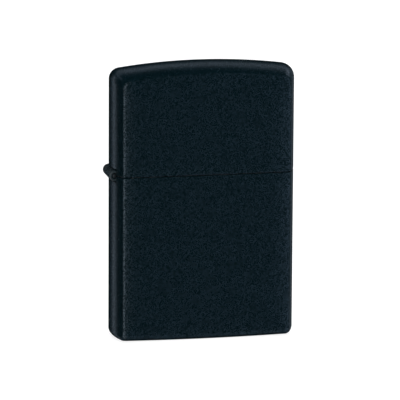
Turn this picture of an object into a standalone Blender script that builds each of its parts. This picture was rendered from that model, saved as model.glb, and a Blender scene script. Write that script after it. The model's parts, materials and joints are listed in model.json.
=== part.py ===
"""Pocket petrol lighter with a flip-open lid, closed.

The outer case is two thin drawn shells joined by a barrel hinge on the left side.
Inside stands a removable insert with a perforated windscreen, a sprung cam that holds
the lid shut or open, a flint wheel, a spring-fed flint column and a cotton wick.

Lengths are in millimetres until mesh_object() turns them into metres.
X is width (hinge at -X), Y is depth (front at -Y), Z is up with the base at zero.
"""
import math

import bpy
import bmesh

MM = 0.001

# outer case
WIDTH = 38.1
DEPTH = 12.7
HEIGHT = 57.15
WALL = 0.7
SPLIT_Z = 34.5
SPLIT_GAP = 0.3
CROWN_ANGLE = math.radians(27.5)    # how far the bowed narrow sides turn before the corner starts
CORNER_RADIUS = 0.5                 # between a bowed side and the flat front or back
LID_CORNER_RADIUS = 2.3
BASE_CORNER_RADIUS = 2.0
CORNER_TIGHTENING = 0.5             # how much an outline corner tightens per unit drawn in
BASE_EDGE_RADIUS = 1.5
TOP_RISE = 1.45                     # height of the arched top above its ends

# hinge
HINGE_X = -18.65
HINGE_Z = SPLIT_Z
KNUCKLE_RADIUS = 1.2
KNUCKLE_BORE = 0.55
PIN_RADIUS = 0.5
KNUCKLE_GAP = 0.1
CASE_KNUCKLE_LENGTH = 1.5
LID_KNUCKLE_LENGTH = 1.15
HINGE_HALF_LENGTH = 3.6
NOTCH_HALF_LENGTH = 3.9
NOTCH_REACH = 1.4
LEAF_INNER_X = -17.2
LEAF_THICKNESS = 0.45
LEAF_CLEARANCE = 1.05               # leaf edge to hinge axis height, where the other leaf's knuckle turns
LEAF_REACH = 7.0                    # hinge axis height to the leaf's far edge
TAB_OVERLAP = 0.3
PIN_SHORT = 0.05                    # how far the pin stops inside the last knuckle

# insert
INSERT_LEFT = -17.05
INSERT_RIGHT = 18.05
INSERT_HALF_DEPTH = 5.45
INSERT_BOTTOM = 2.0
INSERT_TOP = 37.0
INSERT_WALL = 0.4
INSERT_CORNER = 0.8
SEAT_GAP = 0.02                     # between two pieces that touch
HOLE_MARGIN = 0.05
CAM_SLOT_RIGHT = -10.4
CAM_SLOT_BOTTOM = 35.2
CAM_SLOT_HALF_WIDTH = 1.6

# windscreen
SCREEN_LEFT = -9.5
SCREEN_RIGHT = 8.0
SCREEN_HALF_DEPTH = 4.6
SCREEN_CORNER = 3.2
SCREEN_WALL = 0.5
SCREEN_TOP = 53.7
SCREEN_BASE = INSERT_TOP + SEAT_GAP
SCREEN_EAR = (                       # x, z of the plate that carries the wheel
    (3.0, SCREEN_BASE), (15.4, SCREEN_BASE), (15.4, 43.4), (14.9, 45.3), (13.4, 46.6),
    (11.2, 47.4), (9.4, 48.8), (8.1, 50.8), (7.2, 52.4), (3.0, 52.4),
)
WINDOW_LEFT = 4.9
WINDOW_RIGHT = 10.0
WINDOW_HALF_DEPTH = 3.1
WINDOW_TOP = 48.2
HOLE_RADIUS = 1.1
HOLE_ROWS = ((42.2, (-4.9, -0.75, 3.4)), (45.7, (-2.8, 1.3)), (49.2, (-4.9, -0.75, 3.4)))

# flint wheel and flint column
WHEEL_X = 12.0
WHEEL_Z = 43.8
WHEEL_RADIUS = 3.9
WHEEL_HALF_WIDTH = 2.5
WHEEL_TEETH = 32
TOOTH_DEPTH = 0.35
HUB_RADIUS = 2.4
HUB_HALF_WIDTH = 3.85
AXLE_RADIUS = 0.9
AXLE_HEAD_RADIUS = 1.55
AXLE_HEAD_FACE = 1.1
AXLE_HEAD_STEP = 0.2
AXLE_HEAD_HEIGHT = 0.38
TUBE_OUTER = 1.6
TUBE_INNER = 1.3
TUBE_BOTTOM = 3.2
TUBE_TOP = 39.0
FLINT_RADIUS = 1.2
FLINT_TOP = 39.75
FLINT_LENGTH = 5.0
TIP_LENGTH = 3.1
TIP_GAP = 0.05
TIP_RADIUS = 1.15
TIP_STEM_RADIUS = 0.6
TIP_STEM_LENGTH = 1.6
SPRING_BOTTOM = 6.6
SPRING_TURNS = 14
SPRING_RADIUS = 0.95
SPRING_WIRE = 0.18
SCREW_HEAD_RADIUS = 2.3
SCREW_HEAD_BOTTOM = 2.0
SCREW_HEAD_TOP = 3.1
SCREW_BEVEL = 0.2
SCREW_THREAD_RADIUS = 1.15
SCREW_SLOT_HALF_WIDTH = 0.3
SCREW_SLOT_DEPTH = 0.5

# cam
CAM_X = -12.4
CAM_Z = 38.0
CAM_RADIUS = 1.6
CAM_REACH = 4.15
CAM_NOSE_ANGLE = math.radians(150)
CAM_HALF_WIDTH = 1.5
CAM_PIN_RADIUS = 0.5
CAM_PIN_HEAD_RADIUS = 0.8
CAM_PIN_HEAD_HEIGHT = 0.3
NOSE_ROUND = 0.15
NOSE_HALF_ANGLE = 4
EAR_INNER = 1.65
EAR_OUTER = 2.05
CAM_EAR = ((-14.0, 36.8), (-10.8, 36.8), (-10.8, 38.2), (-11.4, 39.2), (-13.4, 39.2), (-14.0, 38.2))
CAM_SPRING = (                       # x, z round the strip
    (-15.0, 35.95), (-9.6, 35.95), (-8.7, 36.3), (-6.2, 36.3),
    (-6.2, 36.55), (-8.7, 36.55), (-9.6, 36.2), (-15.0, 36.2),
)
CAM_SPRING_HALF_WIDTH = 1.4
RIVET_X = -7.3
RIVET_RADIUS = 0.5
RIVET_PROFILE = (                    # radius, z
    (0.9, 35.8), (0.9, 36.28), (RIVET_RADIUS, 36.28), (RIVET_RADIUS, INSERT_TOP + SEAT_GAP),
    (0.95, INSERT_TOP + SEAT_GAP), (0.95, INSERT_TOP + 0.2), (RIVET_RADIUS, INSERT_TOP + 0.4),
)

# wick and packing
WICK_X = -2.5
WICK_RADIUS = 1.7
WICK_BOTTOM = 4.8
WICK_TOP = 45.8
WICK_CLEARANCE = 0.2
WICK_END = 0.4                       # height and depth of the rounded ends
BALLS = (                            # centre x, centre z, half width, half height
    (-10.4, 9.5, 5.5, 5.0),
    (-10.4, 19.7, 5.5, 5.0),
    (-10.4, 30.1, 5.5, 5.2),
    (4.8, 12.1, 5.3, 7.5),
    (4.8, 27.4, 5.3, 7.7),
)
BALL_HALF_DEPTH = 4.7
BALL_RINGS = 7
BALL_SEGMENTS = 14
PAD_LEFT = -15.7
PAD_RIGHT = 16.0
PAD_HALF_DEPTH = 4.7
PAD_CORNER = 1.6
PAD_BOTTOM = 2.2
PAD_TOP = 4.2
PAD_HOLE_RADIUS = 2.6

COLOURS = {                          # base colour, metallic, roughness
    "black coating": ((0.010, 0.014, 0.018), 0.2, 0.55),
    "steel": ((0.56, 0.57, 0.58), 1.0, 0.32),
    "dark steel": ((0.32, 0.32, 0.33), 1.0, 0.4),
    "brass": ((0.72, 0.52, 0.24), 1.0, 0.35),
    "flint": ((0.10, 0.095, 0.09), 0.3, 0.7),
    "cotton": ((0.82, 0.80, 0.74), 0.0, 0.95),
    "rayon": ((0.88, 0.87, 0.84), 0.0, 0.95),
    "felt": ((0.62, 0.60, 0.56), 0.0, 0.98),
}


def mesh_object(name, verts, faces, colour=None, origin=(0.0, 0.0, 0.0)):
    """Makes a closed mesh from points in millimetres, with its own origin."""
    mesh = bpy.data.meshes.new(name)
    mesh.from_pydata([[(v[k] - origin[k]) * MM for k in range(3)] for v in verts], [], faces)
    bm = bmesh.new()
    bm.from_mesh(mesh)
    bmesh.ops.recalc_face_normals(bm, faces=bm.faces)
    bm.to_mesh(mesh)
    bm.free()
    obj = bpy.data.objects.new(name, mesh)
    obj.location = [c * MM for c in origin]
    bpy.context.scene.collection.objects.link(obj)
    if colour:
        base, metallic, roughness = COLOURS[colour]
        material = bpy.data.materials.new(name + "_material")
        material.use_nodes = True
        shader = material.node_tree.nodes["Principled BSDF"]
        shader.inputs["Base Color"].default_value = (*base, 1.0)
        shader.inputs["Metallic"].default_value = metallic
        shader.inputs["Roughness"].default_value = roughness
        mesh.materials.append(material)
    return obj


def combine(target, tool, operation):
    """Joins a tool to a solid, or cuts it away, then removes the tool."""
    modifier = target.modifiers.new("combine", "BOOLEAN")
    modifier.operation = operation
    modifier.solver = "EXACT"
    modifier.object = tool
    bpy.context.view_layer.update()
    evaluated = target.evaluated_get(bpy.context.evaluated_depsgraph_get())
    result = bpy.data.meshes.new_from_object(evaluated)
    result.materials.clear()
    for material in target.data.materials:
        result.materials.append(material)
    for polygon in result.polygons:
        polygon.material_index = 0
    target.modifiers.remove(modifier)
    target.data = result
    bpy.data.objects.remove(tool)


def cut(target, *tools):
    for tool in tools:
        combine(target, tool, "DIFFERENCE")


def add(target, *tools):
    for tool in tools:
        combine(target, tool, "UNION")


def smooth(obj, angle=35):
    obj.data.shade_smooth()
    obj.data.set_sharp_from_angle(angle=math.radians(angle))


def prism(name, outline, axis, low, high, colour=None, origin=(0.0, 0.0, 0.0)):
    """Extrudes a flat outline along Y (outline in x, z) or along Z (outline in x, y)."""
    count = len(outline)
    verts = []
    for level in (low, high):
        verts += [(a, level, b) if axis == "Y" else (a, b, level) for a, b in outline]
    faces = [list(range(count)), list(range(count, 2 * count))]
    faces += [(i, (i + 1) % count, count + (i + 1) % count, count + i) for i in range(count)]
    return mesh_object(name, verts, faces, colour, origin)


def box(name, x, y, z, colour=None, origin=(0.0, 0.0, 0.0)):
    outline = [(x[0], y[0]), (x[1], y[0]), (x[1], y[1]), (x[0], y[1])]
    return prism(name, outline, "Z", z[0], z[1], colour, origin)


def turned(name, profile, axis, centre, segments, colour=None, hollow=False,
           origin=(0.0, 0.0, 0.0)):
    """Turns a (radius, position) profile about a line along Y or Z.

    centre is (x, z) for a line along Y and (x, y) for a line along Z.
    A hollow profile is a closed loop, and any other one is capped at both ends.
    """
    verts = []
    for radius, position in profile:
        for k in range(segments):
            angle = 2 * math.pi * k / segments
            a = centre[0] + radius * math.cos(angle)
            b = centre[1] + radius * math.sin(angle)
            verts.append((a, position, b) if axis == "Y" else (a, b, position))
    rings = len(profile)
    faces = []
    for i in range(rings if hollow else rings - 1):
        j = (i + 1) % rings
        for k in range(segments):
            m = (k + 1) % segments
            faces.append((i * segments + k, i * segments + m, j * segments + m, j * segments + k))
    if not hollow:
        faces.append(list(range(segments)))
        faces.append(list(range((rings - 1) * segments, rings * segments)))
    return mesh_object(name, verts, faces, colour, origin)


def cylinder(name, radius, axis, centre, low, high, segments=24, colour=None,
             origin=(0.0, 0.0, 0.0)):
    return turned(name, ((radius, low), (radius, high)), axis, centre, segments, colour,
                  origin=origin)


def tube(name, outer, inner, axis, centre, low, high, segments=24, colour=None,
         origin=(0.0, 0.0, 0.0)):
    loop = ((outer, low), (outer, high), (inner, high), (inner, low))
    return turned(name, loop, axis, centre, segments, colour, hollow=True, origin=origin)


def crown(half_depth, corner, crown_steps=6, corner_steps=4):
    """The bow of a narrow side from front to back, as (turn angle, y, inset from the widest point)."""
    bow = (half_depth - corner * (1 - math.sin(CROWN_ANGLE))) / math.sin(CROWN_ANGLE)
    points = []
    for i in range(crown_steps + 1):
        angle = -CROWN_ANGLE + 2 * CROWN_ANGLE * i / crown_steps
        points.append((angle, bow * math.sin(angle), bow * (1 - math.cos(angle))))
    _, edge_y, edge_inset = points[-1]
    for i in range(1, corner_steps + 1):
        angle = CROWN_ANGLE + (math.pi / 2 - CROWN_ANGLE) * i / corner_steps
        y = edge_y + corner * (math.sin(angle) - math.sin(CROWN_ANGLE))
        inset = edge_inset + corner * (math.cos(CROWN_ANGLE) - math.cos(angle))
        points.append((angle, y, inset))
        points.insert(0, (-angle, -y, inset))
    return points


def edge_inset(y, half_depth, radius):
    """How far a plainly rounded edge has drawn in at depth y."""
    past = max(0.0, abs(y) - (half_depth - radius))
    return radius - math.sqrt(max(0.0, radius * radius - past * past))


def arc(centre, radius, start, end, steps):
    points = []
    for i in range(steps + 1):
        angle = start + (end - start) * i / steps
        points.append((centre[0] + radius * math.cos(angle), centre[1] + radius * math.sin(angle)))
    return points


def case_outline(side, base):
    """The case's front outline, drawn in by side at its sides and by base at its bottom."""
    half = WIDTH / 2 - side
    r = BASE_CORNER_RADIUS - CORNER_TIGHTENING * side
    top = SPLIT_Z - SPLIT_GAP / 2
    left = arc((-half + r, base + r), r, math.pi, 1.5 * math.pi, 6)
    right = arc((half - r, base + r), r, 1.5 * math.pi, 2 * math.pi, 6)
    return [(-half, top)] + left + right + [(half, top)]


def lid_outline(side, _):
    """The lid's front outline, drawn in by side all round."""
    half = WIDTH / 2
    r = LID_CORNER_RADIUS - CORNER_TIGHTENING * side
    rim = SPLIT_Z + SPLIT_GAP / 2
    arch = (half * half + TOP_RISE * TOP_RISE) / (2 * TOP_RISE)
    arch_z = HEIGHT - arch
    corner_x = half - side - r
    corner_z = arch_z + math.sqrt((arch - side - r) ** 2 - corner_x ** 2)
    meet = math.atan2(corner_z - arch_z, corner_x)
    left = arc((-corner_x, corner_z), r, math.pi, math.pi - meet, 6)
    top = arc((0.0, arch_z), arch - side, math.pi - meet, meet, 8)
    right = arc((corner_x, corner_z), r, meet, 0.0, 6)
    return [(side - half, rim)] + left + top[1:-1] + right + [(half - side, rim)]


def drawn_shell(name, outline, colour, origin=(0.0, 0.0, 0.0)):
    """A thin cup whose mouth is the level edge between the outline's two ends."""
    bow = crown(DEPTH / 2, CORNER_RADIUS, crown_steps=10)
    columns = len(bow)
    verts = []
    for wall in (0.0, WALL):
        lines = []
        for angle, y, inset in bow:
            depth = y - wall * math.sin(angle)
            base = wall + edge_inset(depth, DEPTH / 2 - wall, BASE_EDGE_RADIUS - wall)
            lines.append([(x, depth, z) for x, z in outline(inset + wall * math.cos(angle), base)])
        rows = len(lines[0])
        verts += [line[i] for i in range(rows) for line in lines]

    def at(layer, row, column):
        return layer * rows * columns + row * columns + column

    faces = []
    for layer in (0, 1):
        for i in range(rows - 1):
            for j in range(columns - 1):
                faces.append((at(layer, i, j), at(layer, i, j + 1),
                              at(layer, i + 1, j + 1), at(layer, i + 1, j)))
        for j in (0, columns - 1):
            faces.append([at(layer, i, j) for i in range(rows)])
    for i in (0, rows - 1):
        for j in range(columns - 1):
            faces.append((at(0, i, j), at(0, i, j + 1), at(1, i, j + 1), at(1, i, j)))
    for j in (0, columns - 1):
        faces.append((at(0, 0, j), at(0, rows - 1, j), at(1, rows - 1, j), at(1, 0, j)))
    return mesh_object(name, verts, faces, colour, origin)


def plan_ring(left, right, half_depth, corner):
    """Plan outline with bowed narrow sides, anticlockwise from above."""
    bow = crown(half_depth, corner, crown_steps=4, corner_steps=3)
    return ([(right - inset, y) for _, y, inset in bow]
            + [(left + inset, y) for _, y, inset in reversed(bow)])


def rounded_plan(left, right, half_depth, radius, steps=5):
    """Plan rectangle with rounded corners, anticlockwise from above."""
    corners = ((right - radius, -half_depth + radius, -0.5), (right - radius, half_depth - radius, 0.0),
               (left + radius, half_depth - radius, 0.5), (left + radius, -half_depth + radius, 1.0))
    points = []
    for cx, cy, start in corners:
        for i in range(steps + 1):
            angle = (start + 0.5 * i / steps) * math.pi
            points.append((cx + radius * math.cos(angle), cy + radius * math.sin(angle)))
    return points


def notch_cutter():
    return box("notch", (HINGE_X - 2, LEAF_INNER_X + 1), (-NOTCH_HALF_LENGTH, NOTCH_HALF_LENGTH),
               (HINGE_Z - NOTCH_REACH, HINGE_Z + NOTCH_REACH))


def knuckle_spans():
    """(low, high, on the lid) for each knuckle along the hinge."""
    spans = []
    start = -HINGE_HALF_LENGTH
    for i in range(5):
        length = LID_KNUCKLE_LENGTH if i % 2 else CASE_KNUCKLE_LENGTH
        spans.append((start, start + length, i % 2 == 1))
        start += length + KNUCKLE_GAP
    return spans


def hinge_leaf(name, on_lid, origin=(0.0, 0.0, 0.0)):
    """A leaf plate with a tab up or down to each of its knuckles."""
    x = (LEAF_INNER_X - LEAF_THICKNESS, LEAF_INNER_X)
    up = 1 if on_lid else -1
    near_z = HINGE_Z + up * LEAF_CLEARANCE
    leaf = box(name, x, (-HINGE_HALF_LENGTH, HINGE_HALF_LENGTH),
               sorted((near_z, HINGE_Z + up * LEAF_REACH)), "dark steel", origin)
    for low, high, lid_side in knuckle_spans():
        if lid_side == on_lid:
            tab_z = sorted((HINGE_Z, near_z + up * TAB_OVERLAP))
            knuckle = tube("knuckle", KNUCKLE_RADIUS, KNUCKLE_BORE, "Y", (HINGE_X, HINGE_Z), low, high)
            add(leaf, box("tab", x, (low, high), tab_z), knuckle)
    smooth(leaf)
    return leaf


def build_outer_case():
    hinge = (HINGE_X, 0.0, HINGE_Z)
    case = drawn_shell("case_bottom", case_outline, "black coating")
    lid = drawn_shell("lid", lid_outline, "black coating", hinge)
    for shell in (case, lid):
        cut(shell, notch_cutter())
        smooth(shell, 25)
    hinge_leaf("hinge_leaf_case", False)
    hinge_leaf("hinge_leaf_lid", True, hinge)
    pin_half = HINGE_HALF_LENGTH - PIN_SHORT
    smooth(cylinder("hinge_pin", PIN_RADIUS, "Y", (HINGE_X, HINGE_Z), -pin_half, pin_half,
                    colour="steel"))


def build_insert_shell():
    outer = plan_ring(INSERT_LEFT, INSERT_RIGHT, INSERT_HALF_DEPTH, INSERT_CORNER)
    inner = plan_ring(INSERT_LEFT + INSERT_WALL, INSERT_RIGHT - INSERT_WALL,
                      INSERT_HALF_DEPTH - INSERT_WALL, INSERT_CORNER - INSERT_WALL)
    shell = prism("insert_shell", outer, "Z", INSERT_BOTTOM, INSERT_TOP, "steel")
    hole = (INSERT_TOP - 1, INSERT_TOP + 1)
    cut(shell,
        prism("hollow", inner, "Z", INSERT_BOTTOM - 1, INSERT_TOP - INSERT_WALL),
        box("cam_slot", (INSERT_LEFT - 1, CAM_SLOT_RIGHT), (-CAM_SLOT_HALF_WIDTH, CAM_SLOT_HALF_WIDTH),
            (CAM_SLOT_BOTTOM, INSERT_TOP + 1)),
        cylinder("wick_hole", WICK_RADIUS + WICK_CLEARANCE, "Z", (WICK_X, 0), *hole),
        cylinder("tube_hole", TUBE_OUTER + HOLE_MARGIN, "Z", (WHEEL_X, 0), *hole),
        cylinder("rivet_hole", RIVET_RADIUS + HOLE_MARGIN, "Z", (RIVET_X, 0), *hole, 16))
    for low, high in ((-EAR_OUTER, -EAR_INNER), (EAR_INNER, EAR_OUTER)):
        add(shell, prism("ear", CAM_EAR, "Y", low, high))
    cut(shell, cylinder("cam_pin_hole", CAM_PIN_RADIUS + HOLE_MARGIN, "Y", (CAM_X, CAM_Z),
                        -EAR_OUTER - 1, EAR_OUTER + 1, 16))
    smooth(shell, 30)


def build_windscreen():
    outer = rounded_plan(SCREEN_LEFT, SCREEN_RIGHT, SCREEN_HALF_DEPTH, SCREEN_CORNER)
    inner = rounded_plan(SCREEN_LEFT + SCREEN_WALL, SCREEN_RIGHT - SCREEN_WALL,
                         SCREEN_HALF_DEPTH - SCREEN_WALL, SCREEN_CORNER - SCREEN_WALL)
    screen = prism("chimney", outer, "Z", SCREEN_BASE, SCREEN_TOP, "steel")
    cut(screen, prism("flue", inner, "Z", SCREEN_BASE - 1, SCREEN_TOP + 1))
    for low, high in ((-SCREEN_HALF_DEPTH, -SCREEN_HALF_DEPTH + SCREEN_WALL),
                      (SCREEN_HALF_DEPTH - SCREEN_WALL, SCREEN_HALF_DEPTH)):
        add(screen, prism("ear", SCREEN_EAR, "Y", low, high))
    cut(screen, box("spark_window", (WINDOW_LEFT, WINDOW_RIGHT),
                    (-WINDOW_HALF_DEPTH, WINDOW_HALF_DEPTH), (SCREEN_BASE - 1, WINDOW_TOP)))
    through = (-SCREEN_HALF_DEPTH - 1, SCREEN_HALF_DEPTH + 1)
    for z, xs in HOLE_ROWS:
        for x in xs:
            cut(screen, cylinder("hole", HOLE_RADIUS, "Y", (x, z), *through, 16))
    cut(screen, cylinder("axle_hole", AXLE_RADIUS + SEAT_GAP, "Y", (WHEEL_X, WHEEL_Z), *through, 20))
    smooth(screen, 30)


def build_cam():
    pivot = (CAM_X, 0.0, CAM_Z)
    outline = []
    for i in range(17):
        angle = math.radians(200 + 265 * i / 16)
        outline.append((CAM_X + CAM_RADIUS * math.cos(angle), CAM_Z + CAM_RADIUS * math.sin(angle)))
    for reach, turn in ((CAM_REACH - NOSE_ROUND, -NOSE_HALF_ANGLE), (CAM_REACH, 0),
                        (CAM_REACH - NOSE_ROUND, NOSE_HALF_ANGLE)):
        angle = CAM_NOSE_ANGLE + math.radians(turn)
        outline.append((CAM_X + reach * math.cos(angle), CAM_Z + reach * math.sin(angle)))
    cam = prism("cam", outline, "Y", -CAM_HALF_WIDTH, CAM_HALF_WIDTH, "steel", pivot)
    cut(cam, cylinder("bore", CAM_PIN_RADIUS + HOLE_MARGIN, "Y", (CAM_X, CAM_Z),
                      -CAM_HALF_WIDTH - 1, CAM_HALF_WIDTH + 1, 16))
    smooth(cam, 30)
    seat = EAR_OUTER + SEAT_GAP
    end = EAR_OUTER + CAM_PIN_HEAD_HEIGHT
    pin_profile = ((CAM_PIN_HEAD_RADIUS, -end), (CAM_PIN_HEAD_RADIUS, -seat), (CAM_PIN_RADIUS, -seat),
                   (CAM_PIN_RADIUS, seat), (CAM_PIN_HEAD_RADIUS, seat), (CAM_PIN_HEAD_RADIUS, end))
    smooth(turned("cam_pin", pin_profile, "Y", (CAM_X, CAM_Z), 16, "steel"))
    spring = prism("cam_spring", CAM_SPRING, "Y", -CAM_SPRING_HALF_WIDTH, CAM_SPRING_HALF_WIDTH,
                   "steel")
    cut(spring, cylinder("rivet_hole", RIVET_RADIUS + HOLE_MARGIN, "Z", (RIVET_X, 0),
                         INSERT_TOP - 2, INSERT_TOP + 1, 16))
    smooth(turned("cam_spring_rivet", RIVET_PROFILE, "Z", (RIVET_X, 0), 16, "brass"))


def build_wheel():
    centre = (WHEEL_X, WHEEL_Z)
    axis_point = (WHEEL_X, 0.0, WHEEL_Z)
    teeth = []
    for i in range(2 * WHEEL_TEETH):
        angle = math.pi * i / WHEEL_TEETH
        radius = WHEEL_RADIUS - (TOOTH_DEPTH if i % 2 else 0.0)
        teeth.append((WHEEL_X + radius * math.cos(angle), WHEEL_Z + radius * math.sin(angle)))
    wheel = prism("flint_wheel", teeth, "Y", -WHEEL_HALF_WIDTH, WHEEL_HALF_WIDTH, "dark steel",
                  axis_point)
    add(wheel, cylinder("hub", HUB_RADIUS, "Y", centre, -HUB_HALF_WIDTH, HUB_HALF_WIDTH, 32))
    cut(wheel, cylinder("bore", AXLE_RADIUS + HOLE_MARGIN, "Y", centre,
                        -HUB_HALF_WIDTH - 1, HUB_HALF_WIDTH + 1, 20))
    smooth(wheel, 30)
    seat = SCREEN_HALF_DEPTH + SEAT_GAP
    end = ((AXLE_RADIUS, seat), (AXLE_HEAD_RADIUS, seat), (AXLE_HEAD_RADIUS, seat + AXLE_HEAD_STEP),
           (AXLE_HEAD_FACE, seat + AXLE_HEAD_HEIGHT))
    profile = [(radius, -y) for radius, y in reversed(end)] + list(end)
    smooth(turned("wheel_axle", profile, "Y", centre, 20, "steel", origin=axis_point))


def helix(name, centre_x, low, high, turns, radius, wire, colour):
    """A round-wire coil about a line along Z."""
    sides, per_turn = 5, 12
    steps = turns * per_turn
    verts = []
    for i in range(steps + 1):
        turn = 2 * math.pi * i / per_turn
        z = low + wire + (high - low - 2 * wire) * i / steps
        for k in range(sides):
            angle = 2 * math.pi * k / sides
            reach = radius + wire * math.cos(angle)
            verts.append((centre_x + reach * math.cos(turn), reach * math.sin(turn),
                          z + wire * math.sin(angle)))
    faces = [list(range(sides)), list(range(steps * sides, (steps + 1) * sides))]
    for i in range(steps):
        for k in range(sides):
            m = (k + 1) % sides
            faces.append((i * sides + k, i * sides + m, (i + 1) * sides + m, (i + 1) * sides + k))
    return mesh_object(name, verts, faces, colour)


def build_flint_column():
    centre = (WHEEL_X, 0.0)
    flint_bottom = FLINT_TOP - FLINT_LENGTH
    tip_top = flint_bottom - TIP_GAP
    tip_bottom = tip_top - TIP_LENGTH
    smooth(tube("flint_tube", TUBE_OUTER, TUBE_INNER, "Z", centre, TUBE_BOTTOM, TUBE_TOP,
                colour="brass"))
    smooth(cylinder("flint", FLINT_RADIUS, "Z", centre, flint_bottom, FLINT_TOP, 20, "flint",
                    (WHEEL_X, 0.0, flint_bottom)))
    step = tip_bottom + TIP_STEM_LENGTH
    tip = ((TIP_STEM_RADIUS, tip_bottom), (TIP_STEM_RADIUS, step), (TIP_RADIUS, step),
           (TIP_RADIUS, tip_top))
    smooth(turned("flint_tip", tip, "Z", centre, 20, "brass", origin=(WHEEL_X, 0.0, tip_bottom)))
    smooth(helix("flint_spring", WHEEL_X, SPRING_BOTTOM, step - TIP_GAP, SPRING_TURNS,
                 SPRING_RADIUS, SPRING_WIRE, "steel"))
    screw = ((SCREW_HEAD_RADIUS - SCREW_BEVEL, SCREW_HEAD_BOTTOM),
             (SCREW_HEAD_RADIUS, SCREW_HEAD_BOTTOM + SCREW_BEVEL), (SCREW_HEAD_RADIUS, SCREW_HEAD_TOP),
             (SCREW_THREAD_RADIUS, SCREW_HEAD_TOP), (SCREW_THREAD_RADIUS, SPRING_BOTTOM - 0.1))
    head = turned("flint_screw", screw, "Z", centre, 24, "brass")
    cut(head, box("slot", (WHEEL_X - SCREW_HEAD_RADIUS - 1, WHEEL_X + SCREW_HEAD_RADIUS + 1),
                  (-SCREW_SLOT_HALF_WIDTH, SCREW_SLOT_HALF_WIDTH),
                  (SCREW_HEAD_BOTTOM - 1, SCREW_HEAD_BOTTOM + SCREW_SLOT_DEPTH)))
    smooth(head)


def build_wick_and_packing():
    wick = ((WICK_RADIUS - WICK_END, WICK_BOTTOM), (WICK_RADIUS, WICK_BOTTOM + WICK_END),
            (WICK_RADIUS, WICK_TOP - WICK_END), (WICK_RADIUS - WICK_END, WICK_TOP))
    smooth(turned("wick", wick, "Z", (WICK_X, 0), 20, "cotton"), 50)
    for number, (x, z, half_width, half_height) in enumerate(BALLS, 1):
        profile = []
        for i in range(1, BALL_RINGS):
            angle = math.pi * i / BALL_RINGS
            profile.append((math.sin(angle), -math.cos(angle)))
        verts, faces = [], []
        for spread, lift in profile:
            for k in range(BALL_SEGMENTS):
                angle = 2 * math.pi * k / BALL_SEGMENTS
                verts.append((x + half_width * spread * math.cos(angle),
                              BALL_HALF_DEPTH * spread * math.sin(angle), z + half_height * lift))
        for i in range(len(profile) - 1):
            for k in range(BALL_SEGMENTS):
                m = (k + 1) % BALL_SEGMENTS
                near, far = i * BALL_SEGMENTS, (i + 1) * BALL_SEGMENTS
                faces.append((near + k, near + m, far + m, far + k))
        faces += [list(range(BALL_SEGMENTS)), list(range(len(verts) - BALL_SEGMENTS, len(verts)))]
        smooth(mesh_object(f"packing_ball_{number}", verts, faces, "rayon"), 60)
    pad = prism("felt_pad", rounded_plan(PAD_LEFT, PAD_RIGHT, PAD_HALF_DEPTH, PAD_CORNER, 4), "Z",
                PAD_BOTTOM, PAD_TOP, "felt")
    cut(pad, cylinder("screw_hole", PAD_HOLE_RADIUS, "Z", (WHEEL_X, 0), PAD_BOTTOM - 1, PAD_TOP + 1,
                      24))
    smooth(pad, 30)


def main():
    for obj in list(bpy.data.objects):
        bpy.data.objects.remove(obj)
    build_outer_case()
    build_insert_shell()
    build_windscreen()
    build_cam()
    build_wheel()
    build_flint_column()
    build_wick_and_packing()


main()
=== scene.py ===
"""Looks of the pocket lighter: fine meshes, materials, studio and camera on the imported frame."""
import json
import math
import random

import bmesh
import bpy
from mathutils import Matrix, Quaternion, Vector, noise


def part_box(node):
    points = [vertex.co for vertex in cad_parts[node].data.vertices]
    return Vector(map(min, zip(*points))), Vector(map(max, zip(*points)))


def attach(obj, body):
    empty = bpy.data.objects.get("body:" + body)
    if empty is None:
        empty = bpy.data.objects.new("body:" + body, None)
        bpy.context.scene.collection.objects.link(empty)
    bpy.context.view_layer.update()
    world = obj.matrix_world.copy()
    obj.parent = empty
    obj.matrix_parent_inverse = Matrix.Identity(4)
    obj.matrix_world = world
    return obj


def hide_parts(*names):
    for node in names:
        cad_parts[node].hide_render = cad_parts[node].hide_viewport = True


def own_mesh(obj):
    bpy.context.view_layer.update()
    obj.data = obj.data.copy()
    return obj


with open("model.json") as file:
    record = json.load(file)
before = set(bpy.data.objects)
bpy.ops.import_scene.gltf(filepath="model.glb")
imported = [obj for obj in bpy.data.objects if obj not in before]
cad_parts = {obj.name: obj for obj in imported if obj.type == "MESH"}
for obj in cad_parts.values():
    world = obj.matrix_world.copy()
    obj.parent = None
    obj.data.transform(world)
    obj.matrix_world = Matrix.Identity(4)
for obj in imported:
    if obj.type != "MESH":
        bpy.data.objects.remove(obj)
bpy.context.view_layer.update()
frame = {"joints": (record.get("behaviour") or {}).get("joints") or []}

MM = 0.001


# ---------------------------------------------------------------- sizes from the frame, in mm

def low_high(node):
    """Lowest and highest corner of a CAD node, in millimetres."""
    low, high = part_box(node)
    return low / MM, high / MM


def joint_point(name):
    joint = next(j for j in frame["joints"] if j["name"] == name)
    return Vector(joint["pos_m"]) / MM


CASE_HIGH = low_high("case_bottom")[1]
LID_LOW, LID_HIGH = low_high("lid")
HALF_WIDTH = CASE_HIGH.x
HALF_DEPTH = CASE_HIGH.y
WALL = 0.7
HINGE = joint_point("lid_hinge")
CAM_PIVOT = joint_point("cam_pivot")
WHEEL = joint_point("wheel_spin")

# outer case, its corners and faces a little softer than the CAD solids
CROWN_ANGLE = math.radians(28.8)
CORNER_RADIUS = 0.8
LID_CORNER_RADIUS = 2.35
BASE_CORNER_RADIUS = 1.5
BASE_BOW = 0.2
CORNER_TIGHTENING = 0.3
CORNER_LEAST = 0.4
BASE_EDGE_RADIUS = 1.5
FACE_DROP = 0.20
FACE_REACH = 7.5
FACE_STEPS = 14
FACE_LEAN = math.atan(4 * FACE_DROP / FACE_REACH)
TOP_RISE = 1.45
RIM_ROUND = 0.22
RIM_REACH = 0.08
NOTCH_HALF_LENGTH = 3.9
NOTCH_REACH = 1.4
PIN_BORE = 0.55


# ---------------------------------------------------------------- mesh helpers

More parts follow.
